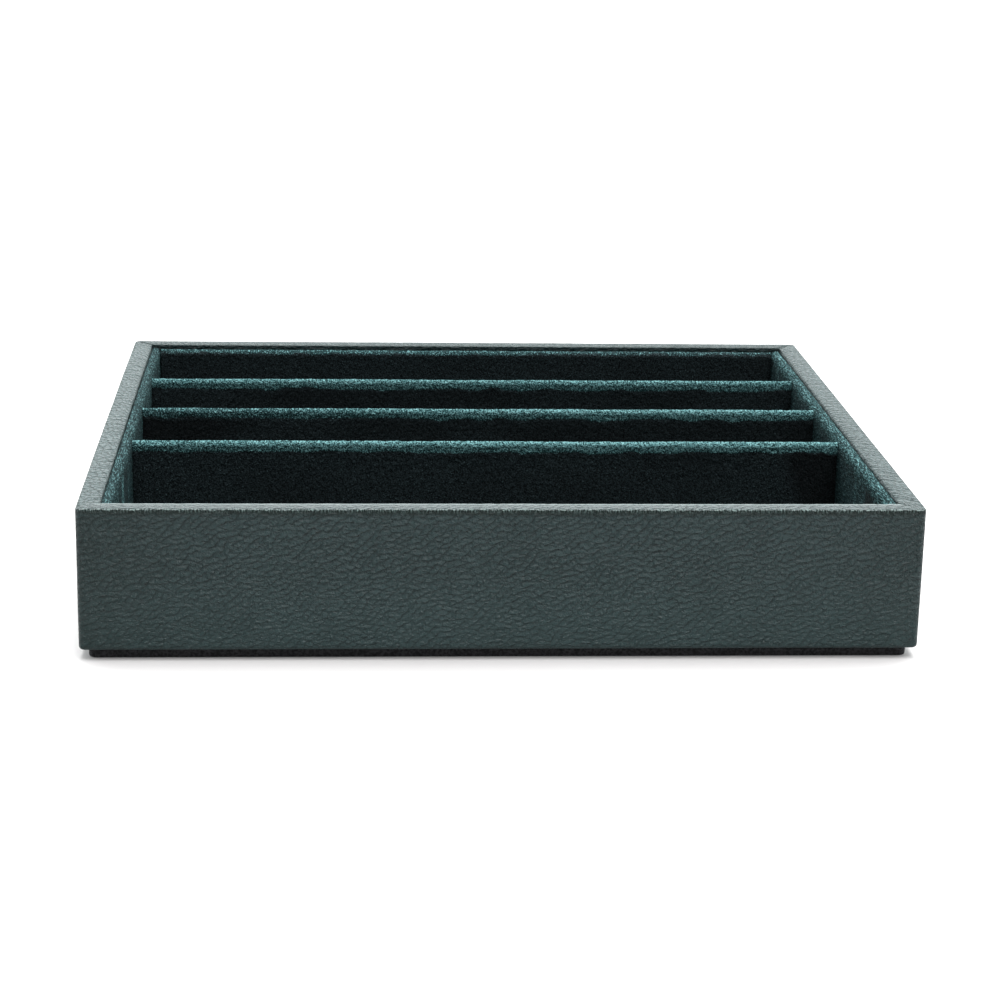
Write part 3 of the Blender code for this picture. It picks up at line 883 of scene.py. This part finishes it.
def divider_section(top, foot):
    s = Section()
    h, t = 2.15 * MM, 0.8 * MM
    s.line((-h, foot), (-h, top - 11 * MM), 1.6 * MM, 0.75)
    s.line((-h, top - 11 * MM), (-h, top - h), 0.5 * MM, 1.0)
    s.arc((0, top - h), h, 180, 0, 17, 1.0)
    s.line((h, top - h), (h, top - 8 * MM), 0.8 * MM, 1.0)
    s.line((h, top - 8 * MM), (h, foot), 2.0 * MM, 0.75)
    s.line((h, foot), (h - t, foot), t, 0.0)
    s.line((h - t, foot), (h - t, top - h), 15 * MM, 0.0)
    s.arc((0, top - h), h - t, 0, 180, 6, 0.0)
    s.line((-h + t, top - h), (-h + t, foot), 15 * MM, 0.0)
    s.line((-h + t, foot), (-h, foot), t, 0.0)
    return s


def build_dividers():
    for k, name in enumerate(("front", "middle", "rear")):
        node = name + "_divider_suede"
        lo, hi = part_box(node)
        mid = (lo.y + hi.y) / 2
        section = divider_section(hi.z, lo.z)
        # The nap of the ends meets that of the walls.
        stations = spaced(lo.x - 0.40 * MM, hi.x + 0.40 * MM, 0.42 * MM)

        def place(a, s, z, mid=mid):
            return np.stack([s, mid + a, z], -1)

        def move(p, w, s, k=k, top=hi.z):
            shoulder = smooth(p[..., 2], top - 6 * MM, top - 2 * MM) * (1 - smooth(p[..., 2], top - 1.2 * MM, top - 0.2 * MM))
            rumple = 0.20 * MM * shoulder * fbm(p, (9 * MM, 2.2 * MM, 1.6 * MM), 2, 90 + k)
            return nap(p, 100 + 13 * k, 1.1) + rumple + 0.10 * MM * noise3(p, 17 * MM, 120 + k) - 0.10 * MM

        obj = run_piece(name + "_suede_divider", section, stations, place, move,
                        nap_and_light=divider_nap_and_light(name, hi.z, 140 + 7 * k))
        obj.data.materials.append(SUEDE)
        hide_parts(node)


def build_floor_lining():
    """The floor panel's suede, a shallow cushion with its edges turned down."""
    lo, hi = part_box("floor_lining_suede")
    r = 0.9 * MM
    xs = spaced(lo.x, hi.x, 1.6 * MM, 2.4 * MM, 0.4 * MM)
    ys = spaced(lo.y, hi.y, 1.6 * MM, 2.4 * MM, 0.4 * MM)
    gx, gy = np.meshgrid(xs, ys, indexing="ij")
    edge = np.minimum(np.minimum(gx - lo.x, hi.x - gx), np.minimum(gy - lo.y, hi.y - gy))
    drop = np.where(edge < r, r - np.sqrt(np.maximum(r * r - (r - edge) ** 2, 0)), 0)
    gz = hi.z - drop
    top = np.stack([gx, gy, gz], -1)
    lift = 0.5 * nap(top, 200) * smooth(edge, 0, 1.2 * MM)
    top[..., 2] += np.minimum(lift, 0.15 * MM)
    n, m = len(xs), len(ys)
    verts = [top.reshape(-1, 3)]
    quads = [grid_quads(n, m, False, False)]
    rim = ([(i, 0) for i in range(n)] + [(n - 1, j) for j in range(1, m)]
           + [(i, m - 1) for i in range(n - 2, -1, -1)] + [(0, j) for j in range(m - 2, 0, -1)])
    loop = np.array([i * m + j for i, j in rim])
    count = n * m
    flat = top.reshape(-1, 3)
    center = np.array([(lo.x + hi.x) / 2, (lo.y + hi.y) / 2, 0])
    previous = loop
    t, turn = 0.8 * MM, 14 * MM
    for inset, z in ((0, lo.z + 0.3 * MM), (0.3 * MM, lo.z), (turn, lo.z), (turn, lo.z + t), (t, lo.z + t), (t, hi.z - t - 0.1 * MM)):
        ring = flat[loop].copy()
        ring[:, 2] = z
        half_x, half_y = (hi.x - lo.x) / 2, (hi.y - lo.y) / 2
        ring[:, 0] = center[0] + (ring[:, 0] - center[0]) * (half_x - inset) / half_x
        ring[:, 1] = center[1] + (ring[:, 1] - center[1]) * (half_y - inset) / half_y
        verts.append(ring)
        now = np.arange(count, count + len(loop))
        count += len(loop)
        quads.append(np.stack([previous, now, np.roll(now, -1), np.roll(previous, -1)], -1))
        previous = now
    verts = np.concatenate(verts)
    obj = make_object("floor_suede_panel", verts, np.concatenate(quads), extra=[list(previous)])
    face_outward(obj)
    give_nap_and_light(obj, 0.12 + 0.28 * fbm(verts, 30 * MM, 3, 210))
    obj.data.materials.append(SUEDE_FLOOR)
    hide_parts("floor_lining_suede")


# ----------------------------------------------------------------------- the pad

def build_pad():
    lo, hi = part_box("base_pad_cover")
    inset0 = lo.x + HALF_W
    top = hi.z
    section = [(inset0 + 9 * MM, 0.0), (inset0 + 5 * MM, 0.0), (inset0 + 3 * MM, 0.0)]
    r = 0.8 * MM
    for k in range(7):
        a = math.radians(90 * k / 6)
        section.append((inset0 + r - r * math.sin(a), r - r * math.cos(a)))
    section += [(inset0, 1.5 * MM), (inset0, 2.1 * MM), (inset0, 2.7 * MM), (inset0 + 0.12 * MM, top - 0.2 * MM), (inset0 + 0.5 * MM, top)]
    section += [(inset0 + 6 * MM, top), (inset0 + 12 * MM, top), (inset0 + 12 * MM, top - 0.8 * MM)]
    section += [(inset0 + 0.8 * MM, top - 0.8 * MM), (inset0 + 0.8 * MM, 1.2 * MM), (inset0 + 1.2 * MM, 0.8 * MM)]
    inset = np.array([a for a, _ in section])
    z = np.array([b for _, b in section])
    columns = around((1.4 * MM,) * 4, 5 * MM, 0.8 * MM, 8)
    x, y, ox, oy = ring_point(columns, inset, inset0 + 3.0 * MM)
    n, m = len(columns), len(section)
    base = np.stack([x, y, np.repeat(z[None, :], n, 0)], -1)
    shown = ((z > 0.1 * MM) & (z < top - 0.1 * MM) & (inset < inset0 + 1.4 * MM)).astype(float)
    shown[-3:] = 0
    move = (0.10 * MM * fbm(base, 9 * MM, 3, 300) + 0.05 * MM * noise3(base, 1.5 * MM, 307)) * shown[None, :]
    base[..., 0] += ox[:, None] * move
    base[..., 1] += oy[:, None] * move
    quads = grid_quads(n, m, True, False)
    first = [i * m for i in range(n)]
    last = [i * m + m - 1 for i in range(n)]
    obj = make_object("base_pad_cloth", base.reshape(-1, 3), quads, extra=[first, last])
    face_outward(obj)
    obj.data.materials.append(PAD)
    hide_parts("base_pad_cover")


build_linings()
build_dividers()
build_floor_lining()
build_pad()


# --------------------------------------------------------------- floor, light, camera

def build_floor():
    mesh = bpy.data.meshes.new("studio_floor")
    bm = bmesh.new()
    bmesh.ops.create_grid(bm, x_segments=4, y_segments=4, size=15.0)
    bm.to_mesh(mesh)
    bm.free()
    obj = bpy.data.objects.new("studio_floor", mesh)
    bpy.context.scene.collection.objects.link(obj)
    t = Tree("studio_floor_paper")
    tone = t.noise(t.place(), 8.0, 2.0, 0.5)
    t.link(t.mix(t.step(tone, 0.3, 0.7), (0.495, 0.48, 0.48), (0.505, 0.49, 0.49)), t.shader.inputs["Base Color"])
    t.shader.inputs["Roughness"].default_value = 0.9
    t.shader.inputs["Specular IOR Level"].default_value = 0.2
    t.shader.inputs["Emission Color"].default_value = (1.0, 1.0, 1.0, 1.0)
    t.shader.inputs["Emission Strength"].default_value = 0.12
    mesh.materials.append(t.mat)


def build_light():
    """A bright backdrop and overhead diffuser, a dark room low down in front,
    and one softbox above and behind the tray."""
    world = bpy.data.worlds.new("studio")
    bpy.context.scene.world = world
    world.use_nodes = True
    nt = world.node_tree
    nt.nodes.clear()
    out = nt.nodes.new("ShaderNodeOutputWorld")
    coord = nt.nodes.new("ShaderNodeTexCoord")
    along = nt.nodes.new("ShaderNodeVectorMath")
    along.operation = "DOT_PRODUCT"
    nt.links.new(coord.outputs["Generated"], along.inputs[0])
    along.inputs[1].default_value = (SKY_SIDE, 1.0, SKY_UP)
    ramp = nt.nodes.new("ShaderNodeMapRange")
    ramp.interpolation_type = "SMOOTHSTEP"
    nt.links.new(along.outputs["Value"], ramp.inputs["Value"])
    ramp.inputs["From Min"].default_value = SKY_LO
    ramp.inputs["From Max"].default_value = SKY_HI
    ramp.inputs["To Min"].default_value = SKY_DARK
    ramp.inputs["To Max"].default_value = SKY_BRIGHT
    shade = nt.nodes.new("ShaderNodeBackground")
    shade.inputs["Color"].default_value = (0.945, 1.0, 1.0, 1.0)
    nt.links.new(ramp.outputs[0], shade.inputs["Strength"])
    white = nt.nodes.new("ShaderNodeBackground")
    white.inputs["Color"].default_value = (1.0, 1.0, 1.0, 1.0)
    white.inputs["Strength"].default_value = 1.0
    path = nt.nodes.new("ShaderNodeLightPath")
    mix = nt.nodes.new("ShaderNodeMixShader")
    nt.links.new(path.outputs["Is Camera Ray"], mix.inputs[0])
    nt.links.new(shade.outputs[0], mix.inputs[1])
    nt.links.new(white.outputs[0], mix.inputs[2])
    nt.links.new(mix.outputs[0], out.inputs["Surface"])

    for name, energy, spread, elevation, azimuth in SOFTBOXES:
        lamp = bpy.data.lights.new(name, "SUN")
        lamp.energy = energy
        lamp.angle = math.radians(spread)
        obj = bpy.data.objects.new(name, lamp)
        el, az = math.radians(elevation), math.radians(azimuth)
        towards = Vector((math.sin(az) * math.cos(el), math.cos(az) * math.cos(el), math.sin(el)))
        obj.rotation_mode = "QUATERNION"
        obj.rotation_quaternion = towards.to_track_quat("Z", "Y")
        obj.location = towards * 2
        bpy.context.scene.collection.objects.link(obj)


SKY_SIDE, SKY_UP = 0.12, 0.60
SKY_LO, SKY_HI = 0.05, 0.80
SKY_DARK, SKY_BRIGHT = 0.14, 3.10
SOFTBOXES = (("rear_softbox", 2.9, 32.0, 80.0, 24.0), ("front_softbox", 2.5, 40.0, 66.0, 170.0))


def build_camera():
    focal = 2473.08 / 1000 * 36.0
    pitch, yaw, roll = (math.radians(v) for v in (-16.1108, -3.8877, -1.1515))
    turn = (Matrix.Rotation(yaw, 3, "Z") @ Matrix.Rotation(pitch, 3, "X") @ Matrix.Rotation(roll, 3, "Y"))
    right, forward, up = turn.col[0], turn.col[1], turn.col[2]
    cam = bpy.data.cameras.new("photo_camera")
    cam.lens = focal
    cam.sensor_width = 36.0
    cam.sensor_fit = "HORIZONTAL"
    cam.clip_start, cam.clip_end = 0.05, 60.0
    obj = bpy.data.objects.new("photo_camera", cam)
    basis = Matrix((right, up, -forward)).transposed().to_4x4()
    obj.matrix_world = Matrix.Translation((-0.058306, -0.829033 - HALF_D, 0.299451)) @ basis
    bpy.context.scene.collection.objects.link(obj)
    bpy.context.scene.camera = obj


build_floor()
build_light()
build_camera()

view = bpy.context.scene.view_settings
view.view_transform = "Standard"
view.look = "None"
view.exposure = 0.0
view.gamma = 1.0

bpy.context.view_layer.update()
